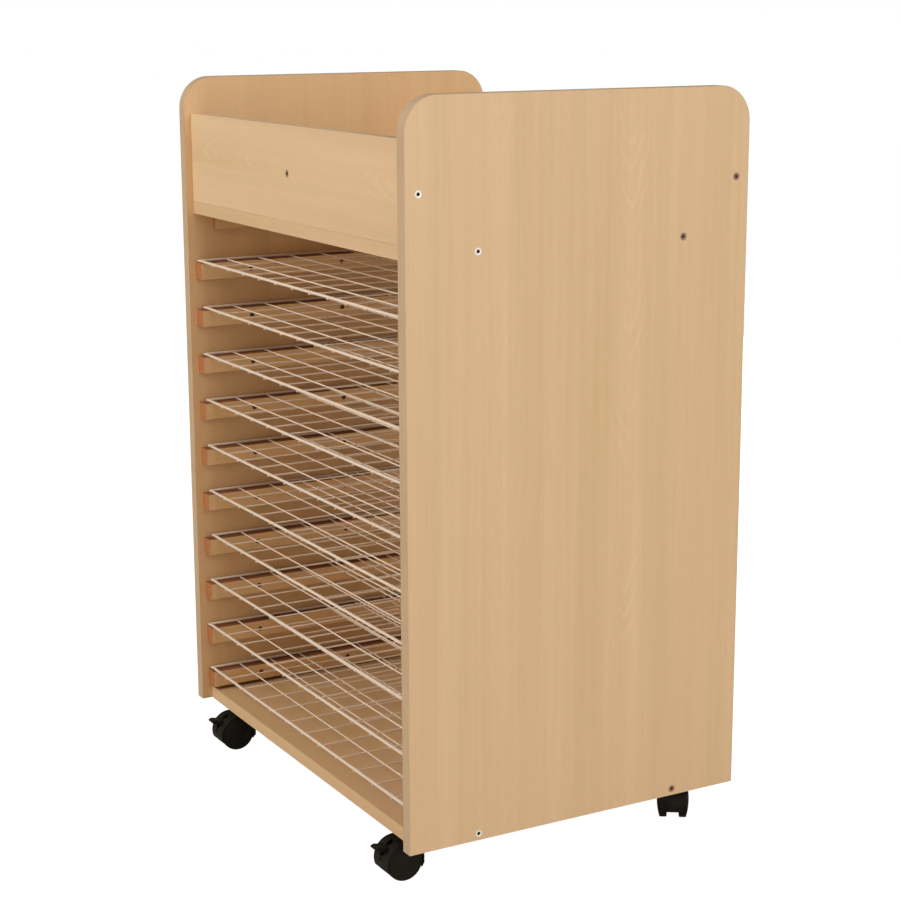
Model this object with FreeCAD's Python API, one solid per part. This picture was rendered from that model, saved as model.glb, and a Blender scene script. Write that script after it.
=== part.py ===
import FreeCAD, Part
import math
import os

# Art drying rack: a board cabinet on four castors, open at the front and the back. Wire shelves
# slide on wooden runners, and a low tray with a divider sits between the tops of the side panels.
# Millimetres. X runs across, -Y is the front, Z is up. Z = 0 is the floor. X = 0 and Y = 0 are the
# middle of the whole rack, brake levers included.

# ---- Boards ----
width = 690.0               # over the outer faces of the side panels
depth = 500.0               # of a side panel with its edging
panel_height = 940.0        # of a side panel with its edging
board = 18.0                # thickness of every board
corner_radius = 45.0        # the side panels' rounded top corners
edging = 1.0                # plastic edging on a side panel's front, top and back
arris = 0.7                 # rounding of the long edges of boards, edging and runners
base_setback = 15.0         # base board, behind the panels' front and back edges
tray_setback = 10.0         # tray, behind the panels' front and back edges
tray_drop = 178.0           # from the panels' top down to the tray's floor
rail_height = 126.0         # of the tray's front and back rails
divider_height = 84.0       # of the board across the middle of the tray

# ---- Runners, and the cleats under the tray ----
runner_width = 22.0
runner_height = 24.0
runner_setback = 11.0       # behind the panels' front edges
runner_short = 46.0         # how much shorter a runner is than the panels are deep
runner_first = 23.0         # from the panels' bottom to the underside of the lowest runner
runner_pitch = 69.5         # from one shelf to the next
cleat_width = 8.0
cleat_height = 24.7
cleat_setback = 40.3        # behind the panels' front edges, and before their back edges
top_slot = 40.0             # least height left between the topmost runners and the cleats

# ---- Wire shelves ----
rod = 4.0                   # diameter of the four rods of a shelf's border
wire = 2.1                  # diameter of the wires inside the border
shelf_side_gap = 5.0        # from a panel's inner face to the middle of the side rod
shelf_short = 36.0          # how much shorter a shelf is than the panels are deep
wire_step_x = 54.0          # wanted spacing of the wires that run front to back
wire_step_y = 50.2          # spacing of the wires that run side to side
wire_first_y = 46.4         # from a shelf's front to the first of them
wire_end_y = 0.8            # how far side rods and wires stand past the front and back rods
butt_end = 1.0              # from the middle of a side rod to what is welded to its inner side
weld = 0.5                  # how far crossing wires sink into each other
rest_gap = 0.3              # running clearance between a shelf and its runners
# How far behind the panels' front edges each shelf was left, the lowest first.
shelf_pushed_in = (14.0, 12.0, 18.0, 22.0, 20.0, 20.0, 20.0, 18.0, 20.0, 13.0)

# ---- Castors ----
wheel_radius = 25.0
wheel_tread = 10.0          # width of one wheel's tread
wheel_rim = 2.4             # thickness of the tread's ring
wheel_disc = 2.0            # thickness of the disc behind the domed face, at the rim
wheel_dome = 3.5            # how far the domed face stands out past the tread
wheel_edge = 1.2            # rounding of the tread's edges
wheel_hub = 7.5             # radius of the hub
wheel_gap = 0.5             # between a wheel and the web of the hood
web_half = 8.0              # half the thickness of the hood's web between the wheels
web_low = 15.0              # height of the web's lower edge above the floor
hood_low = 15.0             # height of the hood's skirt above the floor
hood_clear = 0.5            # from the tread to the hood
hood_wall = 1.6             # thickness of the hood over the treads
hood_edge = 1.2             # rounding of the hood's side edges
hood_over = 1.0             # from a tread's outer face to the side of the hood
trail = 18.5                # from the swivel axis to the wheels' axle
stem_radius = 4.0
stem_end = 1.0              # from the web's lower edge up to the end of the stem
boss_radius = 17.0          # of the hood around the stem
boss_drop = 0.6             # from the top of the hood down to the top of the boss
boss_edge = 6.0             # rounding of the boss's top
web_back = 13.0             # from the swivel axis back to the end of the web
neck_radius = 11.0          # of the bearing neck on top of the hood
neck_height = 6.9
clip_wide = 1.6             # width of the ring that keeps the hood on its stem
clip_thick = 1.2
clip_room = 1.0             # around the ring, in the recess it turns in
clip_depth = 4.0            # depth of that recess
swivel_gap = 0.3            # between faces that turn past each other
plate = 42.0                # side of the square mounting plate
plate_thick = 2.5
plate_corner = 5.0
axle_radius = 3.0
axle_end_gap = 0.5          # from the end of the axle to the bottom of a wheel's bore
pin_fit = 0.05              # radial clearance of pins, axles, stems and screws in their holes
castor_in_x = 76.5          # from a panel's outer face to the swivel axis
castor_in_y = 43.0          # from the panels' front or back edge to the swivel axis
rear_castor_turn = 56.0     # degrees that the rear castors are swivelled outwards

# ---- Brake levers of the front castors ----
lever_pivot_in = 9.4        # from the round of the hood in to the lever's pin
lever_pivot_lean = 47.3     # degrees from straight above the axle forwards to the pin
lever_pin_radius = 1.5
lever_barrel = 3.4          # radius of the lever around its pin
lever_half = 4.0            # half the thickness of the arm inside the hood
lever_side_gap = 0.4        # on each side of the arm and the barrel
tab_half = 8.0              # half the width of the tab for the foot
tab_out = 9.7               # from the front of the hood to the tip of the tab
tab_below = 3.4             # from the top of the hood down to the top of the tab
tab_nose = 4.4              # length of the slope at the tip
tab_fall = 1.4              # how far the top falls over that slope
tab_sink = 3.4              # how far the top falls from there back to the arm's barrel
tab_tip = 2.4               # thickness at the tip
tab_root = 7.0              # thickness where the tab meets the hood
tab_clear = 1.4             # from the hood to the underside of the tab
bar_radius = 1.2            # of the cross bar that presses on the wheels' rings
bar_gap = 1.5               # from the bar to the rings while the brake is off
bar_lean = 28.5             # degrees from straight above the axle forwards to the bar
bar_on_ring = 4.5           # how far the bar reaches under each ring
slot_half = 2.2             # half the width of the narrow slot under the tab
slot_low = 2.0
slot_high = 11.0

# ---- Fasteners and dowels ----
screw_radius = 3.5          # shank of the screws that join the boards
screw_head = 5.0            # radius of their countersunk heads
screw_length = 50.0
screw_cone = 3.0            # depth of the countersink
hex_key = 4.0               # across the flats
hex_depth = 2.6
joint_inset = 100.0         # from a panel's front or back edge to the tray's and base's screws
rail_screw_height = 63.0    # from the tray's floor to the screws in the rails
runner_screw_radius = 1.75
runner_screw_head = 3.6
runner_screw_cone = 2.0
runner_screw_length = 30.0
runner_screw_inset = 78.0   # from a runner's ends to its first and last screw
cross_size = 0.9            # width of a cross recess's arms
cross_depth = 1.4
castor_screw_radius = 2.0
castor_screw_head = 3.7
castor_screw_rise = 2.0     # height of the pan head
castor_screw_length = 15.0
castor_screw_inset = 5.5    # from the plate's edges to each screw
dowel_radius = 4.0
dowel_length = 30.0
dowel_in_tray = 12.0        # of it in the tray board
dowel_inset = 90.0          # from the ends of a rail to its outer dowels

# ---- Worked out from the sizes above ----
ring_radius = wheel_radius - wheel_rim
hood_bore = wheel_radius + hood_clear
hood_radius = hood_bore + hood_wall
hood_half = web_half + wheel_gap + wheel_tread + hood_over
clip_radius = stem_radius + clip_wide
clip_recess = clip_radius + clip_room
castor_height = wheel_radius + hood_radius + neck_height + swivel_gap + plate_thick
inner_half = width / 2 - board
runner_length = depth - runner_short
shelf_depth = depth - shelf_short
panel_low = castor_height
panel_top = panel_low + panel_height
tray_floor = panel_top - tray_drop
tray_low = tray_floor - board
castor_y = depth / 2 - castor_in_y
castor_x = width / 2 - castor_in_x


def ahead_of_top(radius, lean):
    """Y and Z, measured from the axle, of a point on a circle about it that leans forwards."""
    return -radius * math.sin(math.radians(lean)), radius * math.cos(math.radians(lean))


lever_pivot_y, lever_pivot_z = ahead_of_top(hood_radius - lever_pivot_in, lever_pivot_lean)
bar_y, bar_z = ahead_of_top(ring_radius - bar_gap - bar_radius, bar_lean)
bar_half = web_half + wheel_gap + bar_on_ring
tab_reach = hood_radius + tab_out
tab_top = hood_radius - tab_below
tab_front = -castor_y - trail - tab_reach
# The levers stand out past the panels at the front, so the cabinet lies behind the middle.
cabinet_y = -(tab_front + depth / 2) / 2
front = cabinet_y - depth / 2
back = cabinet_y + depth / 2

V = FreeCAD.Vector
AXIS_X = V(1, 0, 0)
AXIS_Y = V(0, 1, 0)
AXIS_Z = V(0, 0, 1)
SIDES = {"left": -1, "right": 1}


def box(x0, x1, y0, y1, z0, z1):
    return Part.makeBox(x1 - x0, y1 - y0, z1 - z0, V(x0, y0, z0))


def rod_between(start, end, radius):
    run = end - start
    return Part.makeCylinder(radius, run.Length, start, run)


def face_of(points):
    return Part.Face(Part.makePolygon([V(*p) for p in points + points[:1]]))


def round_edges(solid, axis):
    """Rounds the straight edges that run along one axis."""
    edges = [e for e in solid.Edges if abs(e.tangentAt(e.FirstParameter).dot(axis)) > 0.99]
    return solid.makeFillet(arris, edges)


def save(shape, node):
    shape.exportStep("parts/" + node + ".step")


# ---- Fasteners: each is made along -Z from its head, which lies at the origin ----
def cross_recess(depth_in):
    arm = cross_size * 2.4
    one = box(-arm, arm, -cross_size / 2, cross_size / 2, -depth_in, 1)
    other = box(-cross_size / 2, cross_size / 2, -arm, arm, -depth_in, 1)
    return one.fuse(other)


def countersunk(radius, head, cone, length):
    profile = face_of([(0, 0, 0), (head, 0, 0), (radius, 0, -cone), (radius, 0, -length + radius),
                       (0, 0, -length)])
    return profile.revolve(V(0, 0, 0), AXIS_Z, 360)


def board_screw():
    key = hex_key / math.sqrt(3)
    points = [(key * math.cos(k * math.pi / 3), key * math.sin(k * math.pi / 3), -hex_depth)
              for k in range(6)]
    recess = face_of(points).extrude(V(0, 0, hex_depth + 1))
    return countersunk(screw_radius, screw_head, screw_cone, screw_length).cut(recess)


def board_screw_hole():
    return countersunk(screw_radius + pin_fit, screw_head, screw_cone, screw_length + pin_fit)


def runner_screw():
    body = countersunk(runner_screw_radius, runner_screw_head, runner_screw_cone, runner_screw_length)
    return body.cut(cross_recess(cross_depth))


def runner_screw_hole():
    return countersunk(runner_screw_radius + pin_fit, runner_screw_head, runner_screw_cone,
                       runner_screw_length + pin_fit)


def castor_screw():
    """Pan head under the plate: the head lies below the origin and the shank points up."""
    shank = Part.makeCylinder(castor_screw_radius, castor_screw_length)
    head = Part.makeCylinder(castor_screw_head, castor_screw_rise, V(0, 0, -castor_screw_rise))
    rim = [e for e in head.Edges if e.BoundBox.ZMax < -castor_screw_rise / 2]
    head = head.makeFillet(castor_screw_rise * 0.6, rim[:1])
    recess = cross_recess(cross_depth).mirror(V(0, 0, 0), AXIS_Z)
    recess.translate(V(0, 0, -castor_screw_rise))
    return shank.fuse(head).cut(recess)


def aimed(shape, place, inward):
    """Turns a screw or its hole so that -Z points inward, and puts its head at place."""
    copy = shape.copy()
    copy.Placement = FreeCAD.Placement(place, FreeCAD.Rotation(V(0, 0, -1), inward))
    return copy


def panel_screw_places(side):
    """Where screws go through one side panel, and the direction they point."""
    rail_y = tray_setback + board / 2
    rows = [(rail_y, tray_floor + rail_screw_height), (joint_inset, tray_low + board / 2),
            (joint_inset, panel_low + board / 2)]
    places = []
    for inset, z in rows:
        for y in (front + inset, back - inset):
            places.append((V(side * width / 2, y, z), V(-side, 0, 0)))
    return places


def divider_screw_places():
    z = tray_floor + rail_screw_height
    return [(V(0, front + tray_setback, z), V(0, 1, 0)), (V(0, back - tray_setback, z), V(0, -1, 0))]


def runner_levels():
    """Undersides of the runners, the lowest first."""
    first = panel_low + runner_first
    highest = tray_low - cleat_height - top_slot - runner_height
    count = 1 + int((highest - first) // runner_pitch)
    return [first + k * runner_pitch for k in range(count)]


def runner_screw_places(side, z):
    y0 = front + runner_setback + runner_screw_inset
    y1 = front + runner_setback + runner_length - runner_screw_inset
    x = side * (inner_half - runner_width)
    return [(V(x, y, z + runner_height / 2), V(side, 0, 0)) for y in (y0, (y0 + y1) / 2, y1)]


def cut_screws(shape, hole, places):
    holes = [aimed(hole, place, inward) for place, inward in places]
    return shape.cut(holes)


# ---- Boards ----
def panel_outline(grow):
    """A side panel's outline, smaller than the edged panel by grow on its edged sides."""
    y0, y1, z1 = front + grow, back - grow, panel_top - grow
    r = corner_radius - grow
    c = r * (1 - math.sqrt(0.5))
    p = [V(0, y0, panel_low), V(0, y0, z1 - r), V(0, y0 + c, z1 - c), V(0, y0 + r, z1),
         V(0, y1 - r, z1), V(0, y1 - c, z1 - c), V(0, y1, z1 - r), V(0, y1, panel_low)]
    edges = [Part.LineSegment(p[0], p[1]), Part.Arc(p[1], p[2], p[3]), Part.LineSegment(p[3], p[4]),
             Part.Arc(p[4], p[5], p[6]), Part.LineSegment(p[6], p[7]), Part.LineSegment(p[7], p[0])]
    return Part.Face(Part.Wire([e.toShape() for e in edges]))


def panel_slab(grow, side):
    slab = panel_outline(grow).extrude(V(board, 0, 0))
    slab.translate(V(inner_half if side > 0 else -width / 2, 0, 0))
    return slab


def side_panel(side):
    core = panel_slab(edging, side)
    core = cut_screws(core, board_screw_hole(), panel_screw_places(side))
    rows = [place for z in runner_levels() for place in runner_screw_places(side, z)]
    return cut_screws(core, runner_screw_hole(), rows)


def panel_edging(side):
    """One strip round the front, top and back of a panel, with its long edges rounded."""
    slab = panel_slab(0, side)
    low = panel_low + 1
    rim = [e for e in slab.Edges if e.BoundBox.XLength < 0.01 and e.BoundBox.ZMax > low]
    return slab.makeFillet(arris, rim).cut(panel_slab(edging, side))


def across(y0, y1, z0, z1):
    """A board from one side panel to the other, with its four long edges rounded."""
    return round_edges(box(-inner_half, inner_half, y0, y1, z0, z1), AXIS_X)


def joining_screw_holes(shape):
    for side in SIDES.values():
        shape = cut_screws(shape, board_screw_hole(), panel_screw_places(side))
    return shape


def rail_span(end):
    """A tray rail's front and back faces. The end is -1 at the front and 1 at the back."""
    if end < 0:
        return front + tray_setback, front + tray_setback + board
    return back - tray_setback - board, back - tray_setback


def dowel_places():
    outer = inner_half - dowel_inset
    middles = [sum(rail_span(end)) / 2 for end in (-1, 1)]
    return [V(x, y, tray_floor - dowel_in_tray) for y in middles for x in (-outer, -outer / 3, outer / 3, outer)]


def dowels(fit):
    return [Part.makeCylinder(dowel_radius + fit, dowel_length + 2 * fit, p - V(0, 0, fit))
            for p in dowel_places()]


def tray_board():
    shape = across(front + tray_setback, back - tray_setback, tray_low, tray_floor)
    return joining_screw_holes(shape).cut(dowels(pin_fit))


def tray_rail(end):
    shape = across(*rail_span(end), tray_floor, tray_floor + rail_height)
    shape = joining_screw_holes(shape).cut(dowels(pin_fit))
    return cut_screws(shape, board_screw_hole(), divider_screw_places())


def tray_divider():
    y0 = rail_span(-1)[1]
    y1 = rail_span(1)[0]
    shape = box(-board / 2, board / 2, y0, y1, tray_floor, tray_floor + divider_height)
    return cut_screws(round_edges(shape, AXIS_Y), board_screw_hole(), divider_screw_places())


def castor_screw_places(x, y):
    step = plate / 2 - castor_screw_inset
    return [V(x + i * step, y + j * step, panel_low - plate_thick) for i in (-1, 1) for j in (-1, 1)]


def base_board():
    shape = across(front + base_setback, back - base_setback, panel_low, panel_low + board)
    shape = joining_screw_holes(shape)
    holes = [Part.makeCylinder(castor_screw_radius + pin_fit, castor_screw_length + pin_fit, p)
             for x, y, _ in castor_places().values() for p in castor_screw_places(x, y)]
    return shape.cut(holes)


def strip(side, wide, y0, y1, z0, z1):
    """A strip along the inner face of a side panel, with its long edges rounded."""
    x0 = inner_half - wide if side > 0 else -inner_half
    return round_edges(box(x0, x0 + wide, y0, y1, z0, z1), AXIS_Y)


def runner_pair(z):
    y0 = front + runner_setback
    pair = []
    for side in SIDES.values():
        bar = strip(side, runner_width, y0, y0 + runner_length, z, z + runner_height)
        pair.append(cut_screws(bar, runner_screw_hole(), runner_screw_places(side, z)))
    return Part.makeCompound(pair)


def tray_cleats():
    """Thin strips glued into the corners under the tray board."""
    y0, y1 = front + cleat_setback, back - cleat_setback
    pair = [strip(side, cleat_width, y0, y1, tray_low - cleat_height, tray_low) for side in SIDES.values()]
    return Part.makeCompound(pair)


# ---- Wire shelf ----
def wire_columns(side_x):
    """Places of the wires between the side rods, evenly spread at about the wanted step."""
    count = max(1, round(2 * side_x / wire_step_x))
    return [2 * side_x * k / count - side_x for k in range(1, count)]


def wire_rows():
    count = 1 + int((shelf_depth - wire_first_y - rod) // wire_step_y)
    return [wire_first_y + k * wire_step_y for k in range(count)]


def wire_shelf():
    """One welded shelf. Its front face is at Y = 0 and the bottom of its side rods is at Z = 0.

    The border's four rods lie in one plane. The wires that run front to back are welded under
    the front and back rods, and those that run side to side lie on them, between the side rods."""
    side_x = inner_half - shelf_side_gap
    end_x = side_x - butt_end
    end_y = (-wire_end_y, shelf_depth + wire_end_y)
    under = weld - wire / 2
    over = under + wire - weld
    parts = []
    for x in (-side_x, side_x):
        parts.append(rod_between(V(x, end_y[0], rod / 2), V(x, end_y[1], rod / 2), rod / 2))
    for y in (rod / 2, shelf_depth - rod / 2):
        parts.append(rod_between(V(-end_x, y, rod / 2), V(end_x, y, rod / 2), rod / 2))
    for x in wire_columns(side_x):
        parts.append(rod_between(V(x, end_y[0], under), V(x, end_y[1], under), wire / 2))
    for y in wire_rows():
        parts.append(rod_between(V(-end_x, y, over), V(end_x, y, over), wire / 2))
    return parts[0].multiFuse(parts[1:])


# ---- Castors: made with the swivel axis at X = Y = 0 and the wheels trailing towards -Y ----
def castor_places():
    """Name of each castor, its swivel axis and how far it is turned, in degrees."""
    places = {}
    for side_name, side in SIDES.items():
        x = side * castor_x
        places["front_" + side_name] = (x, cabinet_y - castor_y, 0.0)
        places["rear_" + side_name] = (x, cabinet_y + castor_y, side * rear_castor_turn)
    return places


def about_axle(y, z):
    return V(0, y - trail, z + wheel_radius)


def bar_x(radius, half, y, z):
    """A round bar along X, centred on X = 0, at a place measured from the axle."""
    centre = about_axle(y, z)
    return Part.makeCylinder(radius, 2 * half, centre - V(half, 0, 0), AXIS_X)


def block(half, y0, y1, z0, z1):
    low = about_axle(y0, z0)
    high = about_axle(y1, z1)
    return box(-half, half, low.y, high.y, low.z, high.z)


def drum(radius, half, low):
    """A round body about the axle, cut off level at low above the floor."""
    under = block(half + 1, -radius - 1, radius + 1, -radius - 1, low - wheel_radius)
    return bar_x(radius, half, 0, 0).cut(under)


def hood_boss():
    """The part around the stem. Seen from above it has straight sides, and is round behind."""
    r = boss_radius
    low = hood_low
    top = wheel_radius + hood_radius - boss_drop
    p = [V(-r, -trail, low), V(r, -trail, low), V(r, 0, low), V(0, r, low), V(-r, 0, low)]
    edges = [Part.LineSegment(p[0], p[1]), Part.LineSegment(p[1], p[2]), Part.Arc(p[2], p[3], p[4]),
             Part.LineSegment(p[4], p[0])]
    plan = Part.Face(Part.Wire([e.toShape() for e in edges]))
    solid = plan.extrude(V(0, 0, top - low))
    rim = [e for e in solid.Edges if e.BoundBox.ZMin > top - 1 and e.BoundBox.YMax > -trail + 1]
    return solid.makeFillet(boss_edge, rim)


def lever_room():
    """What is cut from a braked hood: the arm's window, the bar's windows, the slot, the pin's hole."""
    gap = lever_side_gap
    far = hood_radius + 1
    window = block(lever_half + gap, -far, bar_y + bar_radius + 3 * gap,
                   lever_pivot_z - lever_barrel - gap, far)
    bar_window = block(web_half + 1, bar_y - bar_radius - 4.5 * gap, bar_y + bar_radius + 2 * gap,
                       bar_z - bar_radius - gap, bar_z + bar_radius + 3.5 * gap)
    slot = block(slot_half, -far, -hood_bore, slot_low, slot_high)
    pin = bar_x(lever_pin_radius + pin_fit, web_half + 1, lever_pivot_y, lever_pivot_z)
    return [window, bar_window, slot, pin]


def castor_hood(braked):
    """A drum over both wheels with a boss and a neck, hollowed for the wheels beside a web."""
    shell = drum(hood_radius, hood_half, hood_low)
    rims = [e for e in shell.Edges if e.BoundBox.XLength < 0.01 and e.BoundBox.ZMax > hood_low + 1]
    shell = shell.makeFillet(hood_edge, rims)
    neck_low = wheel_radius + hood_radius - boss_edge
    neck_top = castor_height - plate_thick - swivel_gap
    neck = Part.makeCylinder(neck_radius, neck_top - neck_low, V(0, 0, neck_low))
    body = shell.fuse([hood_boss(), neck])
    for side in SIDES.values():
        start = about_axle(0, 0) + V(side * web_half, 0, 0)
        body = body.cut(Part.makeCylinder(hood_bore, hood_half, start, V(side, 0, 0)))
    web_tail = block(web_half, 0, trail + web_back, web_low - wheel_radius, 0)
    body = body.fuse([drum(hood_bore, web_half, web_low), web_tail])
    stem_bore = Part.makeCylinder(stem_radius + pin_fit, castor_height, V(0, 0, 0))
    recess = Part.makeCylinder(clip_recess, clip_depth + 1, V(0, 0, web_low - 1))
    holes = [stem_bore, recess, bar_x(axle_radius + pin_fit, web_half + 1, 0, 0)]
    if braked:
        holes += lever_room()
    return body.cut(holes).removeSplitter()


def castor_plate():
    """Square mounting plate with holes for its stem and its screws."""
    low = castor_height - plate_thick
    half = plate / 2
    slab = box(-half, half, -half, half, low, castor_height)
    corners = [e for e in slab.Edges if e.BoundBox.ZLength > plate_thick / 2]
    slab = slab.makeFillet(plate_corner, corners)
    holes = [Part.makeCylinder(castor_screw_radius + pin_fit, plate_thick, p)
             for p in castor_screw_places(0, 0)]
    holes.append(Part.makeCylinder(stem_radius + pin_fit, plate_thick, V(0, 0, low)))
    return slab.cut(holes)


def castor_stem():
    """The pin a castor swivels on, riveted into its plate."""
    low = web_low + stem_end
    return Part.makeCylinder(stem_radius, castor_height - low, V(0, 0, low))


def stem_clip():
    top = web_low + clip_depth - swivel_gap
    ring = Part.makeCylinder(clip_radius, clip_thick, V(0, 0, top - clip_thick))
    return ring.cut(Part.makeCylinder(stem_radius + pin_fit, clip_thick, V(0, 0, top - clip_thick)))


def castor_axle():
    return bar_x(axle_radius, axle_half(), 0, 0)


def wheel_face():
    """Distance from the castor's middle to the tip of the domed face."""
    return web_half + wheel_gap + wheel_tread + wheel_dome


def axle_half():
    return wheel_face() - wheel_disc - axle_end_gap


def castor_wheel(side):
    """Domed wheel with a hollow back, a ring for the brake and a blind bore."""
    x0 = web_half + wheel_gap
    x1 = x0 + wheel_tread
    tip = wheel_face()
    bore = axle_radius + pin_fit
    ring = ring_radius
    e = wheel_edge
    k = e * (1 - math.sqrt(0.5))
    r = wheel_radius
    dome_mid = (x1 + wheel_dome * 0.75, r / 2)
    disc = x1 - wheel_disc
    q = [(axle_half() + axle_end_gap, 0), (tip, 0), dome_mid, (x1, r - e), (x1 - k, r - k), (x1 - e, r),
         (x0 + e, r), (x0 + k, r - k), (x0, r - e), (x0, ring), (disc, ring), (disc, wheel_hub),
         (x0, wheel_hub), (x0, bore), (axle_half() + axle_end_gap, bore)]
    p = [V(x, 0, z) for x, z in q]
    edges = [Part.LineSegment(p[0], p[1]), Part.Arc(p[1], p[2], p[3]), Part.Arc(p[3], p[4], p[5]),
             Part.LineSegment(p[5], p[6]), Part.Arc(p[6], p[7], p[8])]
    edges += [Part.LineSegment(p[k], p[k + 1]) for k in range(8, 14)]
    edges.append(Part.LineSegment(p[14], p[0]))
    profile = Part.Face(Part.Wire([edge.toShape() for edge in edges]))
    solid = profile.revolve(V(0, 0, 0), AXIS_X, 360)
    if side < 0:
        solid = solid.mirror(V(0, 0, 0), AXIS_X)
    solid.translate(about_axle(0, 0))
    return solid


def side_profile(points, half):
    """A plate along X from points in Y and Z measured from the axle."""
    corners = [about_axle(y, z) - V(half, 0, 0) for y, z in points]
    return Part.Face(Part.makePolygon(corners + corners[:1])).extrude(V(2 * half, 0, 0))


def brake_lever():
    """A tab outside the hood, an arm with a barrel on its pin, and a bar across both wheels."""
    py, pz = lever_pivot_y, lever_pivot_z
    inner = lever_barrel
    nose = tab_top - tab_fall
    tip = [(-tab_reach + tab_nose, tab_top), (-tab_reach, nose), (-tab_reach, nose - tab_tip)]
    heel = (-tab_reach + tab_root, tab_top - tab_root)
    back_top = (py - inner, tab_top - tab_sink)
    tab = side_profile(tip + [heel, (py, heel[1]), back_top], tab_half)
    tab = tab.cut(bar_x(hood_radius + tab_clear, tab_half + 1, 0, 0))
    arm = side_profile([heel, (py - inner, pz - inner * 0.4), (py, pz - inner), (py + inner, pz),
                        (bar_y + bar_radius, bar_z), (bar_y, bar_z + bar_radius),
                        back_top, tip[0]], lever_half)
    barrel = bar_x(inner, lever_half, py, pz)
    bar = bar_x(bar_radius, bar_half, bar_y, bar_z)
    bore = bar_x(lever_pin_radius + pin_fit, lever_half + 1, py, pz)
    return tab.fuse([arm, barrel, bar]).cut(bore).removeSplitter()


def lever_pin():
    return bar_x(lever_pin_radius, web_half, lever_pivot_y, lever_pivot_z)


def stand(shape, place):
    """Turns a castor's piece about its swivel axis and puts it in its place."""
    x, y, turn = place
    copy = shape.copy()
    copy.rotate(V(0, 0, 0), AXIS_Z, turn)
    copy.translate(V(x, y, 0))
    return copy


# ---- Everything in its place ----
def save_boards():
    for name, side in SIDES.items():
        save(side_panel(side), "side_panel_" + name)
        save(panel_edging(side), "panel_edging_" + name)
    save(tray_board(), "tray_board")
    save(tray_rail(-1), "tray_front_rail")
    save(tray_rail(1), "tray_back_rail")
    save(tray_divider(), "tray_divider")
    save(base_board(), "base_board")
    save(Part.makeCompound(dowels(0)), "tray_dowels")


def save_shelves_and_runners():
    shelf = wire_shelf()
    for number, z in enumerate(runner_levels(), 1):
        save(runner_pair(z), "runner_pair_%02d" % number)
        pushed = shelf_pushed_in[(number - 1) % len(shelf_pushed_in)]
        copy = shelf.copy()
        copy.translate(V(0, front + pushed, z + runner_height + rest_gap))
        save(copy, "wire_shelf_%02d" % number)
    save(tray_cleats(), "tray_cleats")


def save_castors():
    hoods = {True: castor_hood(True), False: castor_hood(False)}
    lever = brake_lever()
    for name, place in castor_places().items():
        braked = name.startswith("front")
        save(stand(castor_plate(), place[:2] + (0.0,)), "castor_plate_" + name)
        save(stand(hoods[braked], place), "castor_hood_" + name)
        save(stand(castor_axle(), place), "castor_axle_" + name)
        for side_name, side in SIDES.items():
            save(stand(castor_wheel(side), place), "castor_wheel_%s_%s" % (name, side_name))
        if braked:
            save(stand(lever, place), "brake_lever_" + name)
            save(stand(lever_pin(), place), "brake_pin_" + name)
    places = castor_places().values()
    save(Part.makeCompound([stand(castor_stem(), place) for place in places]), "castor_stems")
    save(Part.makeCompound([stand(stem_clip(), place) for place in places]), "stem_clips")


def save_screws():
    places = panel_screw_places(-1) + panel_screw_places(1) + divider_screw_places()
    save(Part.makeCompound([aimed(board_screw(), *place) for place in places]), "board_screws")
    places = [p for z in runner_levels() for side in SIDES.values() for p in runner_screw_places(side, z)]
    save(Part.makeCompound([aimed(runner_screw(), *place) for place in places]), "runner_screws")
    screws = []
    for x, y, _ in castor_places().values():
        for place in castor_screw_places(x, y):
            screw = castor_screw()
            screw.translate(place)
            screws.append(screw)
    save(Part.makeCompound(screws), "castor_screws")


os.makedirs("parts", exist_ok=True)
save_boards()
save_shelves_and_runners()
save_castors()
save_screws()
print("castor height %.1f, overall height %.1f, shelves %d" % (castor_height, panel_top, len(runner_levels())))
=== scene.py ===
# %% [markdown]
# # Art drying rack
# A beech-effect cabinet on four castors. Ten welded wire shelves slide on wooden runners, and a low
# tray sits between the tops of the side panels. The solid model holds every piece at its real size, so
# this lesson gives each piece its finish, and models again only what needs finer surfaces than a solid
# model has: the wires and the screw heads.

# %% the frame
import bmesh
import bpy
import math
import random
from mathutils import Matrix, Vector


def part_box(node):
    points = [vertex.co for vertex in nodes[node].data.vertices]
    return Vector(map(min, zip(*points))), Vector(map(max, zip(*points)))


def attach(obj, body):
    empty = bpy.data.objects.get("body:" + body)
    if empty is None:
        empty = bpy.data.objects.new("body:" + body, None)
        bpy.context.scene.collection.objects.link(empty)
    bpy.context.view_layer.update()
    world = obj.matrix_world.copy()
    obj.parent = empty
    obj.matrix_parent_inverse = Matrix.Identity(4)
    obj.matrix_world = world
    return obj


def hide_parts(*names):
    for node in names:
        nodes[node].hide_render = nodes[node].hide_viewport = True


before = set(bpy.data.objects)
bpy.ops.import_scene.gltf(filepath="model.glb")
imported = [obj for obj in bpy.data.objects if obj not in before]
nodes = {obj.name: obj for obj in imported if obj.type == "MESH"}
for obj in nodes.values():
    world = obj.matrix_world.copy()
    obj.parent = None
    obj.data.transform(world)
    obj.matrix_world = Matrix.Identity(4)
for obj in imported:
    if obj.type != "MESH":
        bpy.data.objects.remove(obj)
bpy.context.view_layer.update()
MM = 0.001

# %% [markdown]
# ## Where the cabinet stands
# The origin is on the floor under the middle of the whole rack. The brake tabs stand out at the front,
# so the cabinet itself lies a few millimetres behind the origin. Everything below is measured from
# these few corners, which are read from the solid model.

# %% the cabinet's corners
panel_low, panel_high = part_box("panel_edging_right")
cabinet_y = (panel_low.y + panel_high.y) / 2
tray_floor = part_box("tray_board")[1].z
inner_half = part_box("tray_board")[1].x
print("cabinet from y %.4f to %.4f, up to z %.4f" % (panel_low.y, panel_high.y, panel_high.z))

# %% [markdown]
# ## Camera
# A long lens from just above the rack's own height, to the right of its front and looking a little
# down. The camera's matrix is built from three turns: yaw about the world's Z, pitch about the
# camera's own X, and a trace of roll about the line of sight.

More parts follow.
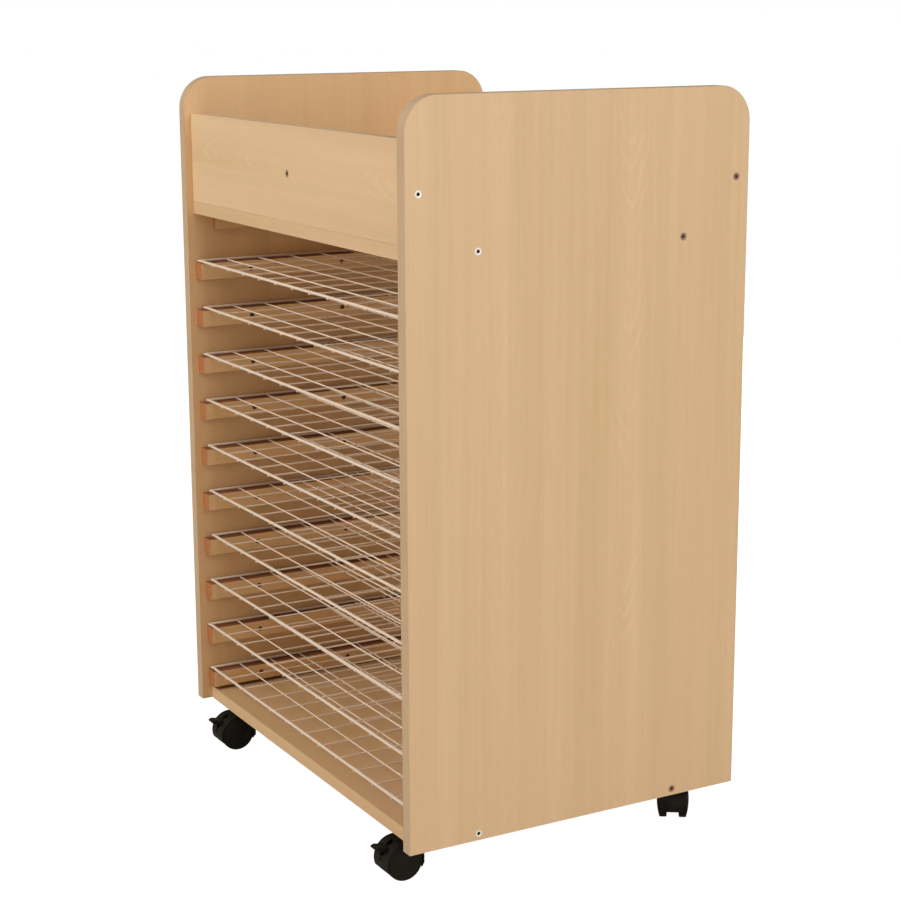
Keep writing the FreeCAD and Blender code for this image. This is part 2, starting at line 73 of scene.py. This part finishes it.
# %% camera
eye = Vector((2.4171, cabinet_y - 1.3528, panel_low.z + 1.0471))
yaw, pitch, roll = (math.radians(angle) for angle in (60.70, 12.63, -0.234))

lens = bpy.data.cameras.new("view")
lens.sensor_width = 36.0
lens.lens = 80.45
lens.clip_start, lens.clip_end = 0.1, 60.0
camera = bpy.data.objects.new("camera", lens)
turn = Matrix.Rotation(yaw, 4, "Z") @ Matrix.Rotation(math.pi / 2 - pitch, 4, "X")
camera.matrix_world = Matrix.Translation(eye) @ turn @ Matrix.Rotation(roll, 4, "Z")
bpy.context.scene.collection.objects.link(camera)
bpy.context.scene.camera = camera
print("camera %.2f m from the origin" % eye.length)

# %% [markdown]
# ## Writing finishes as sums
# A finish here is mostly arithmetic on coordinates: stretch a noise along the grain, add a finer one,
# keep what is over a limit. Linked by hand, each sum would be a Math node with two wires. The class
# below wraps a socket, so that `0.5 + 0.3 * streaks` adds those nodes by itself. Any other node comes
# from one method, `Finish.node`. Coordinates are in metres, so a factor before one, as in `24 * x`, is
# about the number of spots that a noise gets on each metre.

# %% sockets that add up
class Socket:
    """An output in a finish. Arithmetic on it adds Math nodes."""

    def __init__(self, finish, output):
        self.finish, self.output = finish, output

    def maths(self, operation, *others):
        return self.finish.node("ShaderNodeMath", {"operation": operation}, self, *others)

    def __add__(self, other):
        return self.maths("ADD", other)

    def __sub__(self, other):
        return self.maths("SUBTRACT", other)

    def __rsub__(self, other):
        return self.finish.node("ShaderNodeMath", {"operation": "SUBTRACT"}, other, self)

    def __mul__(self, other):
        return self.maths("MULTIPLY", other)

    def __gt__(self, other):
        return self.maths("GREATER_THAN", other)

    def __abs__(self):
        return self.maths("ABSOLUTE")

    __radd__ = __add__
    __rmul__ = __mul__

    def between(self, low, high):
        """0 below low, 1 above high, and smooth in between."""
        settings = {"interpolation_type": "SMOOTHSTEP"}
        return self.finish.node("ShaderNodeMapRange", settings, self, low, high, 0.0, 1.0)


class Finish:
    """A material with one Principled shader, and the nodes that drive it."""

    def __init__(self, name):
        self.material = bpy.data.materials.new(name)
        self.material.use_nodes = True
        self.tree = self.material.node_tree
        self.shader = self.tree.nodes["Principled BSDF"]

    def connect(self, socket, value):
        if isinstance(value, Socket):
            self.tree.links.new(value.output, socket)
        else:
            socket.default_value = value

    def node(self, kind, settings=None, *values, out=0, **named):
        """A new node: its settings first, then its sockets in order or by name."""
        node = self.tree.nodes.new(kind)
        for name, setting in (settings or {}).items():
            setattr(node, name, setting)
        for socket, value in zip(node.inputs, values):
            self.connect(socket, value)
        for name, value in named.items():
            found = next(s for s in node.inputs if s.identifier == name or s.name == name)
            self.connect(found, value)
        if isinstance(out, str):
            return Socket(self, next(s for s in node.outputs if s.identifier == out or s.name == out))
        return Socket(self, node.outputs[out])

    def blend(self, factor, first, second):
        return self.node("ShaderNodeMix", {"data_type": "RGBA"}, Factor_Float=factor, A_Color=first,
                         B_Color=second, out="Result_Color")

    def set(self, **sockets):
        """Sets the Principled shader's sockets. An underscore stands for a space in a name."""
        for name, value in sockets.items():
            self.connect(self.shader.inputs[name.replace("_", " ")], value)
        return self.material

    def place(self):
        """Object coordinates in metres, one socket for each axis."""
        point = self.node("ShaderNodeTexCoord", out="Object")
        return tuple(self.node("ShaderNodeSeparateXYZ", None, point, out=k) for k in range(3))

    def facing(self):
        """The surface's direction in object space, one socket for each axis."""
        normal = self.node("ShaderNodeTexCoord", out="Normal")
        return tuple(self.node("ShaderNodeSeparateXYZ", None, normal, out=k) for k in range(3))

    def noise(self, x, y, z, detail=2.0, roughness=0.5):
        """Noise from about 0 to 1 at a point whose coordinates are already scaled."""
        point = self.node("ShaderNodeCombineXYZ", None, x, y, z)
        return self.node("ShaderNodeTexNoise", {"normalize": True}, Vector=point, Scale=1.0,
                         Detail=detail, Roughness=roughness)

    def bump(self, height, distance):
        return self.node("ShaderNodeBump", None, Strength=1.0, Distance=distance, Height=height)


def colour(red, green, blue):
    """A screen colour of 0 to 255 as the linear colour that shaders take."""
    steps = [value / 255 for value in (red, green, blue)]
    return tuple(((s + 0.055) / 1.055) ** 2.4 if s > 0.04045 else s / 12.92 for s in steps) + (1.0,)


print("a mid grey is", tuple(round(value, 3) for value in colour(128, 128, 128)))

# %% [markdown]
# ## Beech-effect laminate
# The boards are chipboard under a printed melamine skin. Its print is calm: broad soft streaks that run
# the whole board, finer fibres, short dark flecks, and here and there a column of nested arches where
# the print shows a plank cut across its rings. Noises stretched along the grain give broad and fine
# streaks, fibres and flecks, and one more turns some streaks pinker. The arches are level lines of the
# place along the grain minus the distance from the column's middle. They are bent by a noise, strong
# only near the column, and a little paler than the rest.

# %% laminate
pale_beech = colour(222, 190, 151)
dark_beech = colour(196, 163, 120)
pink_beech = colour(213, 175, 139)
# The warm pair turns some boards warmer; on the left panel and the runners' sides that is painted warm
# bounce light.
pale_warm = colour(240, 190, 124)
dark_warm = colour(216, 166, 102)
laminate_bump = 0.06 * MM
arch_spacing, arch_slope = 38 * MM, 3.2
arch_tip, arch_half_width = 6 * MM, 22 * MM
arch_wander, arch_bend = 30 * MM, 90 * MM


def arches(finish, across, along, column):
    """Nested arches in a column along the grain, 0 to 1."""
    wander = finish.noise(1.3 * along, column * 50, 0.5) - 0.5
    bend = finish.noise(26 * across, 9 * along, column * 20, 4.0, 0.6) - 0.5
    aside = across - column - arch_wander * wander
    reach = (aside * aside + arch_tip ** 2).maths("SQRT")
    rings = (along - arch_slope * reach + arch_bend * bend) * (2 * math.pi / arch_spacing)
    line = rings.maths("SINE").between(0.1, 1.0)
    near = 1 - abs(aside).between(arch_half_width * 0.3, arch_half_width * 1.5)
    patchy = finish.noise(24 * across, 9 * along, column * 30, 3.0).between(0.42, 0.68)
    return line * near * patchy


def laminate(name, across, along, seed, columns=(), darker=0.0, warm=0.0):
    """Laminate whose grain runs along one axis. Across names the two other axes, so that the
    narrow faces have grain as well. Columns give each row of arches its place and strength.
    Darker shifts a board's whole tone and warm turns it warmer; on the left panel they are painted warm
    bounce light."""
    finish = Finish(name)
    skin, fibres, flecks = beech_print(finish, across, along, seed, columns, darker, warm)
    emboss = fibres - 1.5 * flecks
    return finish.set(Base_Color=skin, Roughness=0.44 + 0.12 * fibres,
                      Normal=finish.bump(emboss, laminate_bump))


def beech_print(finish, across, along, seed, columns, darker, warm):
    """The printed colour, and the fibres and flecks in it."""
    x, y, z = finish.place()
    sockets = {"x": x, "y": y, "z": z}
    side = sockets[across[0]] + sockets[across[1]]
    grain = sockets[along]
    broad = finish.noise(24 * side, 0.9 * grain, seed, 1.0) - 0.5
    streaks = finish.noise(95 * side, 1.6 * grain, seed + 3, 3.0) - 0.5
    fibres = finish.noise(620 * side, 9 * grain, seed + 6, 2.0, 0.7) - 0.5
    flecks = finish.noise(1250 * side, 150 * grain, seed + 9).between(0.62, 0.74)
    tone = 0.5 + darker + 0.75 * broad + 0.42 * streaks + 0.4 * fibres + 0.28 * flecks
    for column, strength in columns:
        tone = tone - strength * arches(finish, side, grain, column)
    tint = finish.noise(13 * side, 0.7 * grain, seed + 12).between(0.4, 0.7)
    tone = tone.maths("MINIMUM", 1.0).maths("MAXIMUM", 0.0)
    beech = finish.blend(0.5 * tint, finish.blend(tone, pale_beech, dark_beech), pink_beech)
    return finish.blend(warm, beech, finish.blend(tone, pale_warm, dark_warm)), fibres, flecks


panel_y = panel_low.y
right_columns = ((0.335 + panel_y + inner_half, 0.24), (0.145 + panel_y + inner_half, 0.14))
left_columns = ((0.10 - inner_half, 0.25),)
rail_columns = ((tray_floor - 0.16, 0.25),)
finishes = {
    "side_panel_right": laminate("laminate_right_panel", "yx", "z", 4.0, right_columns),
    # The left panel is lighter and warmer than the right: painted warm bounce light, for its inner face sits
    # inside the rack.
    "side_panel_left": laminate("laminate_left_panel", "yx", "z", 21.0, left_columns,
                                darker=-0.1, warm=0.45),
    "tray_board": laminate("laminate_tray_board", "yz", "x", 33.0, darker=0.35),
    "tray_front_rail": laminate("laminate_front_rail", "yz", "x", 48.0, rail_columns),
    "tray_back_rail": laminate("laminate_back_rail", "yz", "x", 57.0),
    "tray_divider": laminate("laminate_divider", "xz", "y", 66.0),
    "base_board": laminate("laminate_base", "yz", "x", 75.0, darker=0.45, warm=0.18),
}
print("laminate finishes", len(finishes))

# %% [markdown]
# ## Plastic edging
# The panels' front, top and back edges carry a thin plastic strip in a plain, slightly greyer beech
# colour. It has only faint brushed lines along its length: a noise that changes quickly across the
# strip and hardly at all along it.

# %% edging
edging_colour = colour(192, 164, 130)
edging_shade = colour(180, 151, 117)


def edging_finish():
    finish = Finish("plastic_edging")
    x, y, z = finish.place()
    lines = finish.noise(700 * x, 4 * y, 4 * z, 2.0)
    clouds = finish.noise(6 * x, 9 * y, 9 * z)
    skin = finish.blend((0.6 * lines + 0.5 * clouds).between(0.3, 0.8), edging_colour, edging_shade)
    return finish.set(Base_Color=skin, Roughness=0.4 + 0.1 * lines, Normal=finish.bump(lines, 0.04 * MM))


finishes["panel_edging_left"] = finishes["panel_edging_right"] = edging_finish()
print("edging", finishes["panel_edging_left"].name)

# %% [markdown]
# ## Runners and cleats
# The runners are sawn from laminated board, so that their side faces carry the same print as the
# panels, while their tops, undersides and ends are raw wood that has turned a strong reddish brown.
# The finish reads the surface's direction: where it points up, down or along the runner, it switches
# to raw wood, with short arcs on the ends. On the tops and undersides that raw wood is painted darker
# as shade, since little light reaches them between the shelves. The cleats under the tray are cut from
# the same board.

# %% runner wood
end_pale = colour(178, 114, 64)
end_dark = colour(146, 84, 42)
# Painted shade: the raw wood of the tops and undersides, darkened as if dimly lit.
shaded_top_pale = colour(150, 92, 50)
shaded_top_dark = colour(104, 58, 30)
steep = 0.7


def runner_finish():
    finish = Finish("runner_wood")
    x, y, z = finish.place()
    # The side faces get the left panel's lighter, warmer tone: painted warm bounce light from inside the
    # rack.
    side_face, fibres = beech_print(finish, "zx", "y", 87.0, (), darker=-0.1, warm=0.45)[:2]
    arcs = finish.noise(420 * x, 30 * y, 260 * z, 3.0, 0.65)
    saw_marks = finish.noise(60 * x, 60 * y, 1500 * z)
    end_face = finish.blend((0.8 * arcs + 0.3 * saw_marks).between(0.35, 0.8), end_pale, end_dark)
    growth = finish.noise(260 * x, 4 * y, 260 * z, 3.0)
    # Painted shade on the faces that point up or down.
    painted_shade_top = finish.blend(growth.between(0.3, 0.7), shaded_top_pale, shaded_top_dark)
    toward = finish.facing()
    along, upright = abs(toward[1]) > steep, abs(toward[2]) > steep
    skin = finish.blend(upright, finish.blend(along, side_face, end_face), painted_shade_top)
    rough = 0.46 + 0.1 * fibres + 0.2 * (along + upright)
    ridges = finish.bump(fibres + 0.5 * growth, 0.1 * MM)
    return finish.set(Base_Color=skin, Roughness=rough, Normal=ridges)


runner_wood = runner_finish()
for name in nodes:
    if name.startswith("runner_pair") or name == "tray_cleats":
        finishes[name] = runner_wood
print("runner pairs", sum(name.startswith("runner_pair") for name in nodes))

# %% [markdown]
# ## Dowels
# The dowels in the tray's joints are pale beech and show nowhere once the rack is together. They get
# a plain wood finish all the same, for the day someone takes the tray apart.

# %% dowel wood
def dowel_finish():
    finish = Finish("dowel_wood")
    x, y, z = finish.place()
    fibres = finish.noise(900 * x, 900 * y, 20 * z, 3.0)
    skin = finish.blend(fibres.between(0.3, 0.7), colour(224, 196, 156), colour(196, 160, 116))
    return finish.set(Base_Color=skin, Roughness=0.6, Normal=finish.bump(fibres, 0.1 * MM))


finishes["tray_dowels"] = dowel_finish()
print("dowel finish ready")

# %% [markdown]
# ## Metals
# Two plated steels: cloudy zinc on everything metal about the castors, and a dark bronzed plate on the
# small screws of the runners. The bronzed plate is dull under its lacquer, so it is less metallic.

# %% metals
def plated_finish(name, bright, dull, rough, cloudy, metallic=1.0):
    finish = Finish(name)
    x, y, z = finish.place()
    clouds = finish.noise(220 * x, 220 * y, 220 * z, 3.0)
    scratches = finish.noise(3000 * x, 400 * y, 900 * z, 1.0)
    skin = finish.blend(clouds.between(0.35, 0.7), bright, dull)
    return finish.set(Base_Color=skin, Metallic=metallic,
                      Roughness=rough + cloudy * clouds + 0.08 * scratches,
                      Normal=finish.bump(scratches, 0.01 * MM))


bronzed = plated_finish("bronzed_plate", colour(104, 74, 50), colour(72, 48, 32),
                        rough=0.4, cloudy=0.2, metallic=0.4)
zinc = plated_finish("zinc_plate", colour(190, 192, 194), colour(150, 152, 156), rough=0.34, cloudy=0.2)
finishes["runner_screws"] = bronzed
for name in nodes:
    if name.startswith(("castor_plate", "castor_stems", "castor_screws", "castor_axle", "brake_pin",
                        "stem_clips")):
        finishes[name] = zinc
print("metal pieces", sum(value in (bronzed, zinc) for value in finishes.values()))

# %% [markdown]
# ## Black nylon
# The castors' hoods, wheels and brake levers are moulded in black nylon with a fine eroded grain. The
# grain is a small noise in the bump, and a wider one makes the sheen uneven, as handling does.

# %% nylon
def nylon_finish():
    finish = Finish("black_nylon")
    x, y, z = finish.place()
    grain = finish.noise(1800 * x, 1800 * y, 1800 * z, 2.0)
    handling = finish.noise(70 * x, 70 * y, 70 * z, 2.0)
    skin = finish.blend(handling.between(0.35, 0.75), colour(19, 18, 14), colour(29, 27, 21))
    return finish.set(Base_Color=skin, Roughness=0.5 + 0.16 * handling, Specular_IOR_Level=0.14,
                      Normal=finish.bump(grain, 0.04 * MM))


nylon = nylon_finish()
for name in nodes:
    if name.startswith(("castor_hood", "castor_wheel", "brake_lever")):
        finishes[name] = nylon
print("nylon pieces", sum(value == nylon for value in finishes.values()))

# %% [markdown]
# ## Putting the finishes on
# A solid model's piece keeps its shape and place. Only its material slots are filled.

# %% finishes on the solid model's pieces
for name, material in finishes.items():
    nodes[name].data.materials.clear()
    nodes[name].data.materials.append(material)
print("pieces with a finish", len(finishes), "of", len(nodes))

# %% [markdown]
# ## White wire coating
# The shelves are coated in one go after welding. The coat is thick enough to round every corner and to
# dimple slightly like orange peel. Where the side rods slide on the runners it has gone a little grey.
# The coat is white, and its pinkish beige tint here is painted warm bounce light from the boards.

# %% wire coating
slide_inside, slide_outside = inner_half - 9 * MM, inner_half - 7 * MM


def coating_finish():
    finish = Finish("white_coating")
    x, y, z = finish.place()
    clouds = finish.noise(9 * x, 9 * y, 9 * z)
    peel = finish.noise(900 * x, 900 * y, 900 * z)
    scuffs = finish.noise(500 * x, 40 * y, 300 * z, 3.0).between(0.5, 0.68)
    downward = (-1.0 * finish.facing()[2]).between(0.3, 0.9)
    under = downward * abs(x).between(slide_inside, slide_outside)
    # Painted warm bounce light: the white coat is given pinkish beige colours.
    white = finish.blend(clouds, colour(228, 209, 190), colour(220, 199, 177))
    skin = finish.blend(0.6 * scuffs * under, white, colour(150, 142, 130))
    return finish.set(Base_Color=skin, Roughness=0.3 + 0.15 * clouds, Normal=finish.bump(peel, 0.06 * MM))


coating = coating_finish()
print("coating ready")

# %% [markdown]
# ## Wire shelves
# A shelf is a border of four 4 mm rods in one plane, with thinner wires inside it. The wires that run
# front to back are welded under the front and back rods. The ones that run across lie on those wires
# and end against the side rods. Each rod is a cone primitive with equal ends, whose rims are bevelled
# to the round drop that coating leaves on a cut end. A flattened ball at each crossing is the weld
# with its coating. The front and back rods are a trace thinner than the side rods that they run into.
# One shelf is built in millimetres about its own middle, and each of the ten gets its own small faults.

# %% rods and welds
rod, wire = 4.0, 2.1
weld = 0.5
under_rods = weld - wire / 2
over_wires = under_rods + wire - weld
rod_end = 0.8
wire_step_x, wire_step_y, wire_first_y = 54.0, 50.2, 46.4
wobble = 0.35
side_gap = 5.0
rod_bevel = 0.6
rod_sides, wire_sides = 20, 12
weld_width, weld_height = 1.4, 0.85
rod_weld_z = 0.2
thinner = 0.02


def add_rod(shape, start, end, radius, sides):
    """A rod with rounded ends between two points."""
    run = end - start
    place = Matrix.Translation((start + end) / 2) @ run.to_track_quat("Z", "Y").to_matrix().to_4x4()
    made = bmesh.ops.create_cone(shape, cap_ends=True, segments=sides, radius1=radius, radius2=radius,
                                 depth=run.length, matrix=place)
    edges = dict.fromkeys(edge for vert in made["verts"] for edge in vert.link_edges)
    rims = [edge for edge in edges if any(len(face.verts) > 4 for face in edge.link_faces)]
    bmesh.ops.bevel(shape, geom=rims, offset=radius * rod_bevel, offset_type="OFFSET", affect="EDGES",
                    segments=3, profile=0.5, material=-1)


def add_weld(shape, x, y, z, radius):
    """A flattened ball where two wires cross, its middle on the plane between them."""
    size = Matrix.Diagonal((radius * weld_width, radius * weld_width, radius * weld_height, 1))
    place = Matrix.Translation((x, y, z)) @ size
    bmesh.ops.create_icosphere(shape, subdivisions=2, radius=1.0, matrix=place)


def spread(low, high, step):
    """Places of the wires between two rods, evenly spread at about the wanted step."""
    count = round((high - low) / step)
    return [low + (high - low) * k / count for k in range(1, count)]


def shelf_shape(low, high):
    """One shelf in millimetres. Z = 0 is the underside of its rods, Y = 0 its middle."""
    half = inner_half / MM - side_gap
    end_y = (high.y - low.y) / 2
    rod_y = end_y - rod_end - rod / 2
    columns = [x + random.uniform(-wobble, wobble) for x in spread(-half, half, wire_step_x)]
    first = wire_first_y - rod_y - rod / 2
    rows = [first + k * wire_step_y for k in range(1 + int((rod_y - first) // wire_step_y))]
    rows = [y + random.uniform(-wobble, wobble) for y in rows]
    shape = bmesh.new()
    for side in (-half, half):
        add_rod(shape, Vector((side, -end_y, rod / 2)), Vector((side, end_y, rod / 2)), rod / 2, rod_sides)
        for y in rows:
            add_weld(shape, side * (1 - rod / 2 / half), y, over_wires, wire / 2)
    for y in (-rod_y, rod_y):
        add_rod(shape, Vector((-half, y, rod / 2)), Vector((half, y, rod / 2)), rod / 2 - thinner, rod_sides)
        for x in columns:
            add_weld(shape, x, y, rod_weld_z, wire / 2)
    for x in columns:
        add_rod(shape, Vector((x, -end_y, under_rods)), Vector((x, end_y, under_rods)), wire / 2, wire_sides)
        for y in rows:
            add_weld(shape, x, y, (under_rods + over_wires) / 2, wire / 2)
    for y in rows:
        add_rod(shape, Vector((-half, y, over_wires)), Vector((half, y, over_wires)), wire / 2, wire_sides)
    return shape


def finished_piece(name, shape, material, smooth=40):
    """Makes an object of a bmesh: outward faces, smooth up to an angle, one material."""
    bmesh.ops.recalc_face_normals(shape, faces=shape.faces)
    mesh = bpy.data.meshes.new(name)
    shape.to_mesh(mesh)
    shape.free()
    mesh.shade_smooth()
    mesh.set_sharp_from_angle(angle=math.radians(smooth))
    mesh.materials.append(material)
    piece = bpy.data.objects.new(name, mesh)
    bpy.context.scene.collection.objects.link(piece)
    return piece


random.seed(7)
shelf_names = sorted(name for name in nodes if name.startswith("wire_shelf"))
for name in shelf_names:
    low, high = (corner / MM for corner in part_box(name))
    shape = shelf_shape(low, high)
    place = Matrix.Translation(Vector((0, (low.y + high.y) / 2, high.z - rod)))
    bmesh.ops.transform(shape, matrix=Matrix.Scale(MM, 4) @ place, verts=shape.verts)
    piece = finished_piece(name.replace("wire_shelf", "coated_shelf"), shape, coating)
    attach(piece, name.replace("wire_", ""))
    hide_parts(name)
print("shelves", len(shelf_names), "faces in one", len(piece.data.polygons))

# %% [markdown]
# ## Board screws
# The heads of the screws that join the boards are the only metal that shows from the side. Each is
# turned like a lathe piece: a list of rings, each with a radius and a height in millimetres, joined into
# one skin. The innermost rings are hexagons instead of circles, which makes the socket for the key. A
# trace of room is left round the head, so that its edge reads as a dark line. The sockets are painted
# dark as shade, and the rims carry a painted reflection: bright at the front, a dull brown on the rails
# and on the panels' back half.

# %% screw heads
head_rings = (("hex", 2.3, -2.6), ("hex", 2.3, -0.5), ("hex", 2.5, -0.25), ("round", 3.6, -0.03),
              ("round", 4.5, -0.05), ("round", 4.78, -0.1), ("round", 4.84, -0.22), ("round", 3.4, -3.0),
              ("round", 3.4, -49.0), ("round", 2.0, -50.0))
ring_points = 36
rail_inset, board_inset = 19 * MM, 100 * MM
# Depths below the head's face over which the socket's painted shade fades in.
socket_depths = 0.2 * MM, 0.45 * MM
panel_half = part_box("side_panel_right")[1].x
rail_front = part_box("tray_front_rail")[0].y
rail_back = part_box("tray_back_rail")[1].y
rail_z = tray_floor + 63 * MM


def turned(shape, place):
    """A closed skin through the rings, its head looking along the place's Z."""
    rings = []
    for kind, radius, height in head_rings:
        ring = []
        for k in range(ring_points):
            angle = 2 * math.pi * k / ring_points
            flat = math.cos(math.pi / 6) / math.cos(angle % (math.pi / 3) - math.pi / 6)
            reach = radius * (flat if kind == "hex" else 1)
            point = Vector((reach * math.cos(angle), reach * math.sin(angle), height))
            ring.append(shape.verts.new(place @ (point * MM)))
        rings.append(ring)
    for inner, outer in zip(rings, rings[1:]):
        for k in range(ring_points):
            after = (k + 1) % ring_points
            shape.faces.new((inner[k], inner[after], outer[after], outer[k]))
    shape.faces.new(rings[0])
    shape.faces.new(rings[-1])


def head_places():
    """Where the middle of each head lies, and which way it looks."""
    boards = [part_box(name) for name in ("tray_board", "base_board")]
    rows = [(rail_inset, rail_z)] + [(board_inset, (low.z + high.z) / 2) for low, high in boards]
    for side in (-1, 1):
        for inset, z in rows:
            for y in (panel_low.y + inset, panel_high.y - inset):
                yield Vector((side * panel_half, y, z)), Vector((side, 0, 0))
    yield Vector((0, rail_front, rail_z)), Vector((0, -1, 0))
    yield Vector((0, rail_back, rail_z)), Vector((0, 1, 0))


def screw_finish():
    """Painted reflections on the rims, bright or browner by where the head is, and painted shade in the
    sockets.
    """
    finish = Finish("bright_plate")
    x, y, z = finish.place()
    clouds = finish.noise(1400 * x, 1400 * y, 1400 * z, 2.0)
    depth = (panel_half - abs(x)).maths("MINIMUM", (rail_back - cabinet_y) - abs(y - cabinet_y))
    # The socket mask: where the painted shade goes.
    socket = depth.between(*socket_depths)
    # Heads at the back and on the rails get a dull brown painted reflection, the front ones a bright one.
    behind, on_rails = (y - cabinet_y).between(0.0, 0.1), 1 - abs(x).between(0.1, 0.2)
    brown = behind.maths("MAXIMUM", on_rails)
    rim_reflection = finish.blend(brown, colour(252, 246, 234), colour(160, 132, 106))
    painted_socket_shade = finish.blend(brown, colour(30, 26, 24), colour(96, 74, 56))
    skin = finish.blend(socket, finish.blend(0.3 * clouds, rim_reflection, colour(120, 100, 80)), painted_socket_shade)
    return finish.set(Base_Color=skin, Metallic=0.35, Roughness=0.25 + 0.3 * clouds,
                      Normal=finish.bump(clouds, 0.02 * MM))


shape = bmesh.new()
for place, way in head_places():
    turned(shape, Matrix.Translation(place) @ way.to_track_quat("Z", "Y").to_matrix().to_4x4())
piece = finished_piece("turned_board_screws", shape, screw_finish(), smooth=30)
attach(piece, "frame")
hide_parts("board_screws")
print("board screws", len(list(head_places())), "faces", len(piece.data.polygons))

# %% [markdown]
# ## Floor and light
# The rack stands in a white studio. A wide lamp high on the right lights the right-hand panel, and a
# second one high in front of the shelves lights the edges, the rail and the wires. A small one behind
# the left side is for the views from behind. It stands low, or it would glare on the rails' tops.
# Little light comes from the room itself, so that the slots between the shelves get most of theirs
# from the warm boards around them. What the camera sees of the floor is mostly plain white, with a
# little of the real floor left in, so that the castors still have their soft shadow. Each lamp's entry
# holds its place, its power in watts and its width, and all of them face one point inside the rack.

# %% studio
room_light = 0.29
room_colour = (1.0, 0.95, 0.87, 1.0)
lamps = {"right": (Vector((4.2, 0.3, 2.2)), 122.0, 2.6), "front": (Vector((-0.35, -3.4, 2.5)), 106.0, 2.0),
         "back": (Vector((-2.8, 2.9, 0.35)), 85.0, 1.0)}
lamps_face = Vector((0, 0, 0.5))
floor_size = 20.0
floor_shadow = 0.35
floor_white = 1.48
floor_paint = (0.62, 0.56, 0.48, 1.0)


def studio_floor():
    shape = bmesh.new()
    bmesh.ops.create_grid(shape, x_segments=1, y_segments=1, size=floor_size / 2)
    mesh = bpy.data.meshes.new("floor")
    shape.to_mesh(mesh)
    shape.free()
    floor = bpy.data.objects.new("floor", mesh)
    bpy.context.scene.collection.objects.link(floor)
    finish = Finish("studio_floor")
    paint = finish.set(Base_Color=floor_paint, Roughness=0.9)
    white = finish.node("ShaderNodeEmission", None, Color=(1, 1, 1, 1), Strength=floor_white)
    shown = finish.node("ShaderNodeLightPath", out="Is Camera Ray") * (1 - floor_shadow)
    real = Socket(finish, finish.shader.outputs[0])
    mixed = finish.node("ShaderNodeMixShader", None, shown, real, white)
    finish.tree.links.new(mixed.output, finish.tree.nodes["Material Output"].inputs["Surface"])
    mesh.materials.append(paint)


def studio_room():
    world = bpy.data.worlds.new("room")
    world.use_nodes = True
    tree = world.node_tree
    light = tree.nodes["Background"]
    light.inputs["Color"].default_value = room_colour
    light.inputs["Strength"].default_value = room_light
    seen = tree.nodes.new("ShaderNodeBackground")
    seen.inputs["Color"].default_value = (1, 1, 1, 1)
    seen.inputs["Strength"].default_value = 1.0
    path = tree.nodes.new("ShaderNodeLightPath")
    mixed = tree.nodes.new("ShaderNodeMixShader")
    tree.links.new(path.outputs["Is Camera Ray"], mixed.inputs["Fac"])
    tree.links.new(light.outputs[0], mixed.inputs[1])
    tree.links.new(seen.outputs[0], mixed.inputs[2])
    tree.links.new(mixed.outputs[0], tree.nodes["World Output"].inputs["Surface"])
    bpy.context.scene.world = world


def studio_lamp(name, place, power, size):
    lamp = bpy.data.lights.new(name, "AREA")
    lamp.energy = power
    lamp.shape = "SQUARE"
    lamp.size = size
    key = bpy.data.objects.new(name, lamp)
    key.location = place
    key.rotation_mode = "QUATERNION"
    key.rotation_quaternion = (lamps_face - place).to_track_quat("-Z", "Y")
    bpy.context.scene.collection.objects.link(key)


studio_floor()
studio_room()
for name, (place, power, size) in lamps.items():
    studio_lamp(name, place, power, size)
bpy.context.scene.view_settings.view_transform = "Standard"
print("lamps", len(lamps), "room %.2f" % room_light)
